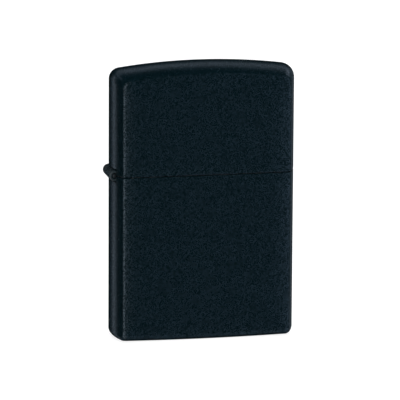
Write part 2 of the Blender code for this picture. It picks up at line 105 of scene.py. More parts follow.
def mesh_object(name, verts, faces, smooth_angle=35):
    """Makes a mesh from points in millimetres and shades it smooth up to an angle."""
    mesh = bpy.data.meshes.new(name)
    mesh.from_pydata([[c * MM for c in v] for v in verts], [], faces)
    bm = bmesh.new()
    bm.from_mesh(mesh)
    bmesh.ops.recalc_face_normals(bm, faces=bm.faces)
    bm.to_mesh(mesh)
    bm.free()
    obj = bpy.data.objects.new(name, mesh)
    bpy.context.scene.collection.objects.link(obj)
    shade(obj, smooth_angle)
    return obj


def shade(obj, angle):
    obj.data.shade_smooth()
    obj.data.set_sharp_from_angle(angle=math.radians(angle))


def apply_modifiers(obj):
    """Bakes an object's modifiers into its mesh."""
    bpy.context.view_layer.update()
    evaluated = obj.evaluated_get(bpy.context.evaluated_depsgraph_get())
    mesh = bpy.data.meshes.new_from_object(evaluated)
    obj.modifiers.clear()
    obj.data = mesh


def combine(target, tools, operation="DIFFERENCE"):
    for tool in tools:
        modifier = target.modifiers.new("combine", "BOOLEAN")
        modifier.operation = operation
        modifier.solver = "EXACT"
        modifier.object = tool
        apply_modifiers(target)
        bpy.data.objects.remove(tool)


def bevel(obj, width, segments=2, angle=30):
    """Rounds the sharp edges of a mesh by a width in millimetres."""
    modifier = obj.modifiers.new("bevel", "BEVEL")
    modifier.width = width * MM
    modifier.segments = segments
    modifier.limit_method = "ANGLE"
    modifier.angle_limit = math.radians(angle)
    apply_modifiers(obj)
    shade(obj, 35)


def even_shading(obj):
    """Keeps large flat faces shading flat next to small rounded edges."""
    modifier = obj.modifiers.new("even", "WEIGHTED_NORMAL")
    modifier.keep_sharp = True
    apply_modifiers(obj)


def join(name, objects):
    """Joins several meshes into one piece."""
    bm = bmesh.new()
    for obj in objects:
        bm.from_mesh(obj.data)
    mesh = bpy.data.meshes.new(name)
    bm.to_mesh(mesh)
    bm.free()
    for obj in objects:
        bpy.data.objects.remove(obj)
    piece = bpy.data.objects.new(name, mesh)
    bpy.context.scene.collection.objects.link(piece)
    return piece


def ring_faces(count, rings, closed=False):
    """Quads from each ring of count points to the next, and back to the first if closed."""
    faces = []
    for i in range(rings if closed else rings - 1):
        j = (i + 1) % rings
        for k in range(count):
            m = (k + 1) % count
            faces.append((i * count + k, i * count + m, j * count + m, j * count + k))
    return faces


def end_caps(count, rings):
    return [list(range(count)), list(range((rings - 1) * count, rings * count))]


def prism(name, outline, axis, low, high):
    """Extrudes an outline along Y (outline in x, z) or along Z (outline in x, y)."""
    count = len(outline)
    verts = []
    for level in (low, high):
        verts += [(a, level, b) if axis == "Y" else (a, b, level) for a, b in outline]
    faces = [list(range(count)), list(range(count, 2 * count))]
    faces += [(i, (i + 1) % count, count + (i + 1) % count, count + i) for i in range(count)]
    return mesh_object(name, verts, faces)


def block(name, x, y, z):
    return prism(name, [(x[0], y[0]), (x[1], y[0]), (x[1], y[1]), (x[0], y[1])], "Z", z[0], z[1])


def turned(name, profile, axis, centre, segments=64, hollow=False):
    """Turns a (radius, position) profile about a line along Y or Z through centre."""
    verts = []
    for radius, position in profile:
        for k in range(segments):
            turn = 2 * math.pi * k / segments
            a = centre[0] + radius * math.cos(turn)
            b = centre[1] + radius * math.sin(turn)
            verts.append((a, position, b) if axis == "Y" else (a, b, position))
    faces = ring_faces(segments, len(profile), hollow)
    if not hollow:
        faces += end_caps(segments, len(profile))
    return mesh_object(name, verts, faces)


def quarter_round(radius, steps):
    """Distances from the two straight sides, along a rounded edge between them."""
    turns = [math.pi / 2 * i / steps for i in range(steps + 1)]
    return [(radius * (1 - math.sin(turn)), radius * (1 - math.cos(turn))) for turn in turns]


def rounded_ends(radius, low, high, edge):
    """Profile of a solid bar whose two end edges are rounded."""
    edges = quarter_round(edge, 4)
    start = [(radius - inward, low + drop) for inward, drop in edges]
    return start + [(radius - inward, high - drop) for inward, drop in reversed(edges)]


def ring_loop(outer, inner, low, high, edge):
    """Closed profile of a tube whose four edges are rounded."""
    loop, steps = [], 4
    corners = ((outer - edge, low + edge, -0.5), (outer - edge, high - edge, 0.0),
               (inner + edge, high - edge, 0.5), (inner + edge, low + edge, 1.0))
    for radius, position, start in corners:
        for i in range(steps + 1):
            turn = (start + 0.5 * i / steps) * math.pi
            loop.append((radius + edge * math.cos(turn), position + edge * math.sin(turn)))
    return loop


def arc(centre, radius, start, end, steps):
    points = []
    for i in range(steps + 1):
        turn = start + (end - start) * i / steps
        points.append((centre[0] + radius * math.cos(turn), centre[1] + radius * math.sin(turn)))
    return points


def rounded_plan(left, right, half_depth, radius, steps=12):
    """Plan rectangle with rounded corners, anticlockwise from above."""
    far = half_depth - radius
    corners = ((right - radius, -far, -0.5), (right - radius, far, 0.0),
               (left + radius, far, 0.5), (left + radius, -far, 1.0))
    points = []
    for cx, cy, start in corners:
        for i in range(steps + 1):
            turn = (start + 0.5 * i / steps) * math.pi
            points.append((cx + radius * math.cos(turn), cy + radius * math.sin(turn)))
    return points


# ---------------------------------------------------------------- drawn shells of the case

def crown(half_depth, corner, crown_steps, corner_steps, lean=0.0, flat_steps=()):
    """The bow of a narrow side, front to back, as (turn angle, y, inset from the widest point).

    The corners stop lean short of facing straight forward, and flat_steps are further
    (inset, rise) steps over the nearly flat front and back.
    """
    bow = (half_depth - corner * (1 - math.sin(CROWN_ANGLE))) / math.sin(CROWN_ANGLE)
    points = []
    for i in range(crown_steps + 1):
        turn = -CROWN_ANGLE + 2 * CROWN_ANGLE * i / crown_steps
        points.append((turn, bow * math.sin(turn), bow * (1 - math.cos(turn))))
    _, edge_y, edge_in = points[-1]
    for i in range(1, corner_steps + 1):
        turn = CROWN_ANGLE + (math.pi / 2 - lean - CROWN_ANGLE) * i / corner_steps
        y = edge_y + corner * (math.sin(turn) - math.sin(CROWN_ANGLE))
        inset = edge_in + corner * (math.cos(CROWN_ANGLE) - math.cos(turn))
        points.append((turn, y, inset))
        points.insert(0, (-turn, -y, inset))
    turn, y, inset = points[-1]
    for extra, rise in flat_steps:
        points.append((turn, y + rise, inset + extra))
        points.insert(0, (-turn, -y - rise, inset + extra))
    return points


def edge_inset(y, half_depth, radius):
    """How far the rounded bottom edge has drawn in at depth y."""
    reach = radius * math.cos(FACE_LEAN)
    past = min(reach, max(0.0, abs(y) - (half_depth - reach)))
    return radius - math.sqrt(radius * radius - past * past)


def case_outline(side, base, levels):
    """Front outline of the case, drawn in by side at its sides and by base at its bottom."""
    half = HALF_WIDTH - side
    r = max(CORNER_LEAST, BASE_CORNER_RADIUS - CORNER_TIGHTENING * side)
    corner_x = half - r
    corner_z = base + BASE_BOW + r
    left = arc((-corner_x, corner_z), r, math.pi, 1.5 * math.pi, 16)
    spans = [i / 8 - 1 for i in range(1, 16)]
    floor = [(corner_x * span, base + BASE_BOW * span * span) for span in spans]
    right = arc((corner_x, corner_z), r, 1.5 * math.pi, 2 * math.pi, 16)
    heights = [CASE_HIGH.z + RIM_REACH - RIM_ROUND] + sorted(levels, reverse=True)
    return ([(-half, z) for z in heights] + left + floor + right
            + [(half, z) for z in reversed(heights)])


def lid_outline(side, _, levels):
    """Front outline of the lid, drawn in by side all round."""
    half, r = HALF_WIDTH, max(CORNER_LEAST, LID_CORNER_RADIUS - CORNER_TIGHTENING * side)
    arch = (half * half + TOP_RISE * TOP_RISE) / (2 * TOP_RISE)
    arch_z = LID_HIGH.z - arch
    corner_x = half - side - r
    corner_z = arch_z + math.sqrt((arch - side - r) ** 2 - corner_x ** 2)
    meet = math.atan2(corner_z - arch_z, corner_x)
    left = arc((-corner_x, corner_z), r, math.pi, math.pi - meet, 16)
    top = arc((0.0, arch_z), arch - side, math.pi - meet, meet, 24)
    right = arc((corner_x, corner_z), r, meet, 0.0, 16)
    heights = [LID_LOW.z - RIM_REACH + RIM_ROUND] + sorted(levels)
    return ([(side - half, z) for z in heights] + left + top[1:-1] + right
            + [(half - side, z) for z in reversed(heights)])


def drawn_shell(name, outline, levels, rim_z, rim_step):
    """A thin cup with a rounded rim. rim_z is the rim's level and rim_step points into the cup."""
    reaches = [FACE_REACH * i / FACE_STEPS for i in range(1, FACE_STEPS + 1)]
    rises = [FACE_DROP * (1 - (1 - reach / FACE_REACH) ** 4) for reach in reaches]
    edge_depth = HALF_DEPTH - FACE_DROP
    bow = crown(edge_depth, CORNER_RADIUS, 20, 9, FACE_LEAN, list(zip(reaches, rises)))
    panel_edge = bow[-1][2] - FACE_REACH
    columns = len(bow)
    verts, faces = [], []
    for wall in (0.0, WALL):
        lines = []
        for turn, y, inset in bow:
            depth = y - wall * math.sin(turn)
            base = wall + edge_inset(depth, edge_depth - wall, BASE_EDGE_RADIUS - wall)
            base += max(0.0, inset - panel_edge)
            flat = outline(inset + wall * math.cos(turn), base, levels)
            lines.append([(x, depth, z) for x, z in flat])
        rows = len(lines[0])
        verts += [line[i] for i in range(rows) for line in lines]

    def at(layer, i, j):
        return (layer * rows + i) * columns + j

    for layer in (0, 1):
        for i in range(rows - 1):
            for j in range(columns - 1):
                faces.append((at(layer, i, j), at(layer, i, j + 1),
                              at(layer, i + 1, j + 1), at(layer, i + 1, j)))
        for j in (0, columns - 1):
            faces.append([at(layer, i, j) for i in range(rows)])

    def rim(layer):
        return ([at(layer, 0, j) for j in range(columns)]
                + [at(layer, rows - 1, j) for j in reversed(range(columns))])

    loops = [rim(0)]
    inner_round = [(WALL - inward, drop) for inward, drop in quarter_round(RIM_ROUND, 4)[:-1]]
    outer_round = [(WALL - wall, drop) for wall, drop in reversed(inner_round)]
    for wall, drop in outer_round + inner_round:
        start = len(verts)
        edge = [(HALF_WIDTH - inset - wall * math.cos(turn), y - wall * math.sin(turn))
                for turn, y, inset in bow]
        level = rim_z + rim_step * drop
        verts += [(-x, y, level) for x, y in edge] + [(x, y, level) for x, y in reversed(edge)]
        loops.append(list(range(start, len(verts))))
    loops.append(rim(1))
    for first, second in zip(loops, loops[1:]):
        for k in range(len(first)):
            m = (k + 1) % len(first)
            faces.append((first[k], first[m], second[m], second[k]))
    return mesh_object(name, verts, faces, 25)


def cut_notch(shell):
    """The slot in the left side that the hinge barrel sits in."""
    cutter = block("notch", (HINGE.x - 2, HINGE.x + 2.4), (-NOTCH_HALF_LENGTH, NOTCH_HALF_LENGTH),
                   (HINGE.z - NOTCH_REACH, HINGE.z + NOTCH_REACH))
    combine(shell, [cutter])
    shade(shell, 25)


# ---------------------------------------------------------------- material helpers

def plug(tree, value, socket):
    """Links a socket, or sets a plain value."""
    if isinstance(value, bpy.types.NodeSocket):
        tree.links.new(value, socket)
    else:
        socket.default_value = value


def add_node(tree, kind, inputs, output, settings):
    made = tree.nodes.new(kind)
    for key, value in settings.items():
        setattr(made, key, value)
    for key, value in inputs.items():
        plug(tree, value, made.inputs[key])
    return made.outputs[output]


class Shader:
    """A Principled material with short calls for adding and linking nodes."""

    def __init__(self, name, metallic=0.0, roughness=0.5, **uniform):
        self.material = bpy.data.materials.new(name)
        self.material.use_nodes = True
        self.tree = self.material.node_tree
        self.shader = self.tree.nodes["Principled BSDF"]
        self.set("Metallic", metallic)
        self.set("Roughness", roughness)
        for key, value in uniform.items():
            self.set(key.replace("_", " "), value)
        self.space = self.tree.nodes.new("ShaderNodeTexCoord").outputs["Object"]

    def set(self, socket, value):
        plug(self.tree, value, self.shader.inputs[socket])

    def node(self, kind, inputs, output=0, **settings):
        return add_node(self.tree, kind, inputs, output, settings)

    def scaled(self, x, y, z):
        return self.node("ShaderNodeMapping", {"Vector": self.space, "Scale": (x, y, z)})

    def noise(self, scale, detail=2.0, roughness=0.5, vector=None, distortion=0.0):
        return self.node("ShaderNodeTexNoise", {
            "Vector": vector or self.space, "Scale": scale, "Detail": detail,
            "Roughness": roughness, "Distortion": distortion})

    def cells(self, scale, turn):
        """A random value for each small rounded cell, on a lattice turned off the axes."""
        turned_space = self.node("ShaderNodeVectorRotate", {
            "Vector": self.space, "Axis": (0.3, 1.0, 0.2), "Angle": turn})
        return self.node("ShaderNodeTexVoronoi", {
            "Vector": turned_space, "Scale": scale, "Smoothness": 0.15}, "Color",
            feature="SMOOTH_F1")

    def math(self, operation, a, b=0.0):
        return self.node("ShaderNodeMath", {0: a, 1: b}, operation=operation)

    def remap(self, value, low, high, to_low, to_high, smooth=False):
        kind = "SMOOTHSTEP" if smooth else "LINEAR"
        return self.node("ShaderNodeMapRange", {
            "Value": value, "From Min": low, "From Max": high, "To Min": to_low, "To Max": to_high},
            interpolation_type=kind)

    def blend(self, factor, a, b):
        mix = self.tree.nodes.new("ShaderNodeMix")
        mix.data_type = "RGBA"
        plug(self.tree, factor, mix.inputs[0])
        for value, index in ((a, 6), (b, 7)):
            colour = value if isinstance(value, bpy.types.NodeSocket) else (*value, 1.0)
            plug(self.tree, colour, mix.inputs[index])
        return mix.outputs[2]

    def bump(self, *layers):
        """Stacks bumps given as (height socket, depth in millimetres, strength)."""
        normal = None
        for value, depth, strength in layers:
            inputs = {"Height": value, "Distance": depth * MM, "Strength": strength}
            if normal:
                inputs["Normal"] = normal
            normal = self.node("ShaderNodeBump", inputs)
        self.set("Normal", normal)


def per_mm(features):
    """Texture scale for a number of features in each millimetre."""
    return features / MM


# ---------------------------------------------------------------- materials

def black_coating():
    """Baked matt coating: near-black blue-green, with a fine grain of shinier flecks whose lighter
    colour is painted glints from the coating's lumps.
    """
    m = Shader("black_coating", roughness=0.26)
    grain = m.noise(per_mm(3.0), 2.0, 0.75)
    lumps = m.noise(per_mm(0.7), 2.0, 0.5)
    # mask of fine flecks: their raised specular level is real shine, their lighter base colour is
    # painted glints
    specks_and_painted_glints = m.remap(m.cells(per_mm(6.7), 0.5), 0.44, 0.655, 0.0, 1.0, smooth=True)
    tone = m.blend(m.remap(lumps, 0.35, 0.65, 0.0, 1.0), (0.0001, 0.0034, 0.0042),
                   (0.0002, 0.0040, 0.0053))
    # painted glints: the flecks get a lighter base colour standing in for light caught by the
    # coating's lumps
    m.set("Base Color", m.blend(specks_and_painted_glints, tone, (0.0024, 0.0086, 0.0126)))
    m.set("Roughness", m.remap(grain, 0.3, 0.7, 0.21, 0.28))
    m.set("Specular IOR Level", m.remap(specks_and_painted_glints, 0.0, 1.0, 0.12, 0.72))
    m.set("Specular Tint", (0.66, 0.82, 1.0, 1.0))
    m.bump((lumps, 0.02, 0.10), (grain, 0.012, 0.12))
    return m.material


def worn_coating():
    """The same coating on the hinge barrel, smoother, with a few rubbed streaks."""
    m = Shader("hinge_coating", roughness=0.26)
    grain = m.noise(per_mm(3.0), 3.0, 0.6)
    rub = m.remap(m.noise(per_mm(1.1), 3.0, 0.6), 0.42, 0.62, 0.0, 1.0, smooth=True)
    m.set("Base Color", m.blend(rub, (0.003, 0.009, 0.012), (0.016, 0.026, 0.031)))
    m.set("Metallic", m.remap(rub, 0.0, 1.0, 0.0, 0.2))
    m.set("Roughness", m.remap(grain, 0.3, 0.7, 0.20, 0.32))
    m.bump((grain, 0.01, 0.25))
    return m.material


def darkened_pin():
    """Blackened steel of the hinge pin, with faint turning streaks along it."""
    m = Shader("darkened_pin", metallic=0.9, roughness=0.32)
    turning = m.noise(per_mm(4.0), 2.0, 0.5, vector=m.scaled(1.0, 0.15, 1.0))
    m.set("Base Color", m.blend(turning, (0.010, 0.016, 0.020), (0.040, 0.048, 0.054)))
    m.set("Roughness", m.remap(turning, 0.3, 0.7, 0.24, 0.42))
    m.bump((turning, 0.01, 0.3))
    return m.material


def brushed_steel(name="brushed_steel", tone=(0.50, 0.51, 0.52), along="Z", roughness=0.28):
    """Steel with fine drawn lines and faint stains."""
    m = Shader(name, metallic=1.0, roughness=roughness)
    fine, slow = per_mm(14), per_mm(0.25)
    stretch = {"X": (slow, fine, fine), "Y": (fine, slow, fine), "Z": (fine, fine, slow)}[along]
    lines = m.noise(1.0, 3.0, 0.6, vector=m.scaled(*stretch))
    stain = m.noise(per_mm(0.15), 3.0, 0.6)
    dark = [c * 0.72 for c in tone]
    m.set("Base Color", m.blend(m.remap(stain, 0.35, 0.65, 0.0, 0.6), tone, dark))
    m.set("Roughness", m.remap(lines, 0.3, 0.7, roughness - 0.08, roughness + 0.12))
    m.bump((lines, 0.006, 0.35))
    return m.material


def rough_steel():
    """Hardened steel with a mottled, slightly smoked surface."""
    tone = (0.26, 0.25, 0.24)
    m = Shader("hardened_steel", metallic=1.0, roughness=0.38)
    mottle = m.noise(per_mm(1.6), 4.0, 0.65)
    grain = m.noise(per_mm(9), 3.0, 0.6)
    m.set("Base Color", m.blend(m.remap(mottle, 0.35, 0.65, 0.0, 1.0), tone,
                                [c * 0.55 for c in tone]))
    m.set("Roughness", m.remap(grain, 0.3, 0.7, 0.30, 0.52))
    m.bump((grain, 0.008, 0.4))
    return m.material


def brass():
    """Drawn brass, a little dulled."""
    m = Shader("brass", metallic=1.0, roughness=0.3)
    dull = m.noise(per_mm(0.8), 4.0, 0.6)
    grain = m.noise(per_mm(10), 3.0, 0.6)
    m.set("Base Color", m.blend(m.remap(dull, 0.4, 0.68, 0.0, 1.0), (0.74, 0.52, 0.22),
                                (0.42, 0.27, 0.11)))
    m.set("Roughness", m.remap(dull, 0.3, 0.7, 0.24, 0.46))
    m.bump((grain, 0.005, 0.3))
    return m.material


def copper():
    m = Shader("copper_strand", metallic=1.0, roughness=0.35)
    dull = m.noise(per_mm(3), 3.0, 0.6)
    m.set("Base Color", m.blend(m.remap(dull, 0.4, 0.6, 0.0, 1.0), (0.72, 0.34, 0.20),
                                (0.36, 0.16, 0.09)))
    m.bump((dull, 0.01, 0.3))
    return m.material


def flint_alloy():
    """Sintered flint: dark, grainy, matt."""
    m = Shader("flint_alloy", metallic=0.4, roughness=0.7)
    grain = m.noise(per_mm(6), 4.0, 0.7)
    m.set("Base Color", m.blend(grain, (0.055, 0.052, 0.050), (0.20, 0.19, 0.18)))
    m.set("Roughness", m.remap(grain, 0.3, 0.7, 0.55, 0.85))
    m.bump((grain, 0.03, 0.6))
    return m.material


def fibre(name, light, dark, strands, fuzz):
    """Cotton, rayon or felt: fine fibres with soft sheen and uneven tone."""
    m = Shader(name, roughness=0.92, Sheen_Weight=0.35, Sheen_Roughness=0.5)
    hairs = m.noise(per_mm(strands), 4.0, 0.7, distortion=1.5)
    tone = m.noise(per_mm(0.5), 3.0, 0.6)
    mixed = m.math("MULTIPLY", hairs, tone)
    m.set("Base Color", m.blend(m.remap(mixed, 0.12, 0.38, 0.0, 1.0, smooth=True), dark, light))
    m.set("Roughness", m.remap(hairs, 0.3, 0.7, 0.85, 1.0))
    m.bump((hairs, fuzz, 0.7))
    return m.material


# ---------------------------------------------------------------- placing pieces

def finish_piece(piece, material, body, slot, *nodes):
    """Gives a piece its material, its body and the CAD nodes it stands for."""
    piece.data.materials.clear()
    piece.data.materials.append(material)
    for polygon in piece.data.polygons:
        polygon.material_index = 0
    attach(piece, body)
    if nodes:
        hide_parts(*nodes)


# ---------------------------------------------------------------- outer case and hinge

def make_case(coat):
    low = HINGE.z - NOTCH_REACH
    levels = (low - 0.15, low - 1.5, 20.0, 12.0)
    case = drawn_shell("case_shell", case_outline, levels, CASE_HIGH.z + RIM_REACH, -1)
    cut_notch(case)
    finish_piece(case, coat, "case", "black_coating", "case_bottom")
    high = HINGE.z + NOTCH_REACH
    levels = (high + 0.15, high + 1.5, 41.0)
    lid = drawn_shell("lid_shell", lid_outline, levels, LID_LOW.z - RIM_REACH, 1)
    cut_notch(lid)
    finish_piece(lid, coat, "lid", "black_coating", "lid")


def make_hinge(coat, pin_steel):
    gap, case_length, lid_length = 0.26, 1.34, 1.07
    knuckle_radius, knuckle_round, tab_reach = 1.17, 0.24, 1.4
    leaf_x = (HINGE.x + 1.0, HINGE.x + 1.45)
    half = low_high("hinge_leaf_case")[1].y
    parts = {"case": [], "lid": []}
    start = -half
    for i in range(5):
        side = "lid" if i % 2 else "case"
        length = lid_length if side == "lid" else case_length
        loop = ring_loop(knuckle_radius, PIN_BORE, start, start + length, knuckle_round)
        parts[side].append(turned("knuckle", loop, "Y", (HINGE.x, HINGE.z), 72, hollow=True))
        reach = tab_reach if side == "lid" else -tab_reach
        tab = block("tab", leaf_x, (start + 0.04, start + length - 0.04),
                    sorted((HINGE.z, HINGE.z + reach)))
        bevel(tab, 0.08)
        parts[side].append(tab)
        start += length + gap
    for side, node in (("case", "hinge_leaf_case"), ("lid", "hinge_leaf_lid")):
        low, high = low_high(node)
        z = (HINGE.z + 1.05, high.z) if side == "lid" else (low.z, HINGE.z - 1.05)
        plate = block("plate", leaf_x, (-half, half), z)
        bevel(plate, 0.15, 3)
        leaf = join(f"hinge_{side}_side", parts[side] + [plate])
        shade(leaf, 35)
        even_shading(leaf)
        finish_piece(leaf, coat, side, "hinge_black", node)
    pin_half = low_high("hinge_pin")[1].y
    pin = turned("hinge_pin_rod", rounded_ends(0.5, -pin_half, pin_half, 0.2), "Y",
                 (HINGE.x, HINGE.z), 48)
    finish_piece(pin, pin_steel, "case", "insert_steel", "hinge_pin")


# ---------------------------------------------------------------- insert

def plan_of(left, right, half_depth, corner):
    bow = crown(half_depth, corner, 16, 6)
    return ([(right - inset, y) for _, y, inset in bow]
            + [(left + inset, y) for _, y, inset in reversed(bow)])


def make_insert(steel):
    low, high = low_high("insert_shell")
    top = low_high("chimney")[0].z - 0.02
    wall, shoulder = 0.4, 0.55
    outer = [(low.z, 0.0)] + [(top - drop, inward) for drop, inward in quarter_round(shoulder, 6)]
    inner = [(top - wall - drop, wall + inward)
             for drop, inward in reversed(quarter_round(shoulder - wall, 4))] + [(low.z, wall)]
    verts = []
    rings = outer + inner
    for z, inset in rings:
        ring = plan_of(low.x + inset, high.x - inset, high.y - inset, max(0.15, 0.8 - inset))
        count = len(ring)
        verts += [(x, y, z) for x, y in ring]
    faces = ring_faces(count, len(rings), closed=True)
    top_ring = len(outer) - 1
    del faces[top_ring * count:len(outer) * count]
    faces.append([top_ring * count + k for k in range(count)])
    faces.append([len(outer) * count + k for k in range(count)])
    shell = mesh_object("insert_sleeve", verts, faces, 30)
    wick_low, wick_high = low_high("wick")
    wick_x = (wick_low.x + wick_high.x) / 2
    rivet_low, rivet_high = low_high("cam_spring_rivet")
    rivet_x = (rivet_low.x + rivet_high.x) / 2
    slot_right, slot_half, slot_floor = -10.4, 1.6, 35.2
    wick_hole, tube_hole = 1.9, 1.65
    cutters = [block("slot", (low.x - 1, slot_right), (-slot_half, slot_half),
                     (slot_floor, top + 1))]
    for x, radius in ((wick_x, wick_hole), (WHEEL.x, tube_hole), (rivet_x, PIN_BORE)):
        cutters.append(turned("hole", ((radius, top - 2), (radius, top + 2)), "Z", (x, 0), 48))
    combine(shell, cutters)
    ear_left, ear_right, shoulder_z, ear_inner, ear_root = -14.0, -10.8, 38.2, 1.65, top - 0.3
    ear = [(ear_left, ear_root), (ear_right, ear_root), (ear_right, shoulder_z)]
    ear += [(CAM_PIVOT.x + 1.6 * math.cos(t), shoulder_z + 1.0 * math.sin(t))
            for t in [math.pi * i / 12 for i in range(1, 12)]] + [(ear_left, shoulder_z)]
    ears = []
    for start, end in ((-high_ear(), -ear_inner), (ear_inner, high_ear())):
        piece = prism("ear", ear, "Y", start, end)
        combine(piece, [turned("hole", ((PIN_BORE, -4), (PIN_BORE, 4)), "Y",
                               (CAM_PIVOT.x, CAM_PIVOT.z), 32)])
        bevel(piece, 0.07)
        ears.append(piece)
    sleeve = join("insert_sleeve_body", [shell] + ears)
    shade(sleeve, 30)
    even_shading(sleeve)
    finish_piece(sleeve, steel, "case", "insert_steel", "insert_shell")


def high_ear():
    """Outer face of the cam's ears: the pin's heads start just past it."""
    return low_high("cam_pin")[1].y - 0.3


def make_windscreen(steel):
    low, high = low_high("chimney")
    wall, corner = 0.5, 3.2
    right = 8.0
    edges = quarter_round(0.14, 4)
    rings = [(low.z, 0.0)] + [(high.z - drop, inward) for drop, inward in edges]
    rings += [(high.z - drop, wall - inward) for drop, inward in reversed(edges)]
    rings.append((low.z, wall))
    verts = []
    for z, inset in rings:
        ring = rounded_plan(low.x + inset, right - inset, high.y - inset, corner - inset)
        verts += [(x, y, z) for x, y in ring]
    faces = ring_faces(len(ring), len(rings), closed=True)
    screen = mesh_object("windscreen", verts, faces, 30)
    slope = []
    for i in range(13):
        t = math.radians(20 + 70 * i / 12)
        slope.append((WHEEL.x - 0.6 + 4.0 * math.cos(t), WHEEL.z - 0.4 + 4.0 * math.sin(t)))
    sweep = [(9.4, 48.8), (8.5, 50.1), (7.9, 51.3), (7.2, 52.4)]
    ear = [(3.0, low.z), (high.x, low.z), (high.x, 42.9)] + slope + sweep + [(3.0, 52.4)]
    ears = [prism("ear", ear, "Y", -high.y, -high.y + wall),
            prism("ear", ear, "Y", high.y - wall, high.y)]
    combine(screen, ears, "UNION")
    window_half, window_left, window_top = 3.1, 4.9, 48.2
    cutters = [block("window", (window_left, 10), (-window_half, window_half),
                     (low.z - 1, window_top))]
    outer_columns, inner_columns = (-4.9, -0.75, 3.4), (-2.8, 1.3)
    air_hole, axle_hole = 1.1, 0.92
    for z, xs in ((42.2, outer_columns), (45.7, inner_columns), (49.2, outer_columns)):
        for x in xs:
            cutters.append(turned("hole", ((air_hole, -6), (air_hole, 6)), "Y", (x, z), 48))
    cutters.append(turned("hole", ((axle_hole, -6), (axle_hole, 6)), "Y", (WHEEL.x, WHEEL.z), 40))
    combine(screen, cutters)
    bevel(screen, 0.06, 2, 40)
    even_shading(screen)
    finish_piece(screen, steel, "case", "insert_steel", "chimney")


def make_cam(steel, rivet_brass):
    low, high = low_high("cam")
    outline = []
    hub, nose_reach, nose_round = 1.6, 3.85, 0.3
    for i in range(49):
        turn = math.radians(200 + 265 * i / 48)
        outline.append((CAM_PIVOT.x + hub * math.cos(turn), CAM_PIVOT.z + hub * math.sin(turn)))
    nose = math.radians(150)
    tip_x = CAM_PIVOT.x + nose_reach * math.cos(nose)
    tip_z = CAM_PIVOT.z + nose_reach * math.sin(nose)
    for i in range(9):
        turn = nose - math.pi / 2 * (1 - i / 4)
        outline.append((tip_x + nose_round * math.cos(turn), tip_z + nose_round * math.sin(turn)))
    cam = prism("cam_lever", outline, "Y", low.y, high.y)
    bore = ((PIN_BORE, -4), (PIN_BORE, 4))
    combine(cam, [turned("bore", bore, "Y", (CAM_PIVOT.x, CAM_PIVOT.z), 40)])
    bevel(cam, 0.1, 3, 40)
    even_shading(cam)
    finish_piece(cam, steel, "cam", "insert_steel", "cam")

    half = low_high("cam_pin")[1].y
    head = [(0.45, -half), (0.7, -half + 0.06), (0.8, -half + 0.2), (0.8, -half + 0.28),
            (0.5, -half + 0.28)]
    profile = head + [(r, -y) for r, y in reversed(head)]
    pin = turned("cam_pivot_pin", profile, "Y", (CAM_PIVOT.x, CAM_PIVOT.z), 40)
    finish_piece(pin, steel, "case", "insert_steel", "cam_pin")

    rivet_low, rivet_high = low_high("cam_spring_rivet")
    rivet_x = (rivet_low.x + rivet_high.x) / 2
    low, high = low_high("cam_spring")
    thick, bend_x = 0.25, -9.9
    strip = [(low.x, low.z), (bend_x, low.z)]
    bend = [(bend_x + 1.2 * t, low.z + (high.z - thick - low.z) * (3 * t * t - 2 * t * t * t))
            for t in [i / 10 for i in range(1, 11)]]
    under = strip + bend + [(high.x, high.z - thick)]
    outline = under + [(x, z + thick) for x, z in reversed(under)]
    spring = prism("cam_leaf_spring", outline, "Y", low.y, high.y)
    combine(spring, [turned("hole", ((PIN_BORE, 34), (PIN_BORE, 38)), "Z", (rivet_x, 0), 32)])
    bevel(spring, 0.04, 2, 40)
    even_shading(spring)
    finish_piece(spring, steel, "case", "insert_steel", "cam_spring")

    plate_top = low_high("chimney")[0].z
    profile = [(0.5, rivet_low.z), (0.85, rivet_low.z + 0.1), (0.9, rivet_low.z + 0.3),
               (0.88, rivet_low.z + 0.46), (0.5, rivet_low.z + 0.48), (0.5, plate_top),
               (0.93, plate_top), (0.95, plate_top + 0.08), (0.8, plate_top + 0.25),
               (0.45, rivet_high.z - 0.03), (0.15, rivet_high.z)]
    rivet = turned("leaf_spring_rivet", profile, "Z", (rivet_x, 0), 40)
    finish_piece(rivet, rivet_brass, "case", "brass", "cam_spring_rivet")


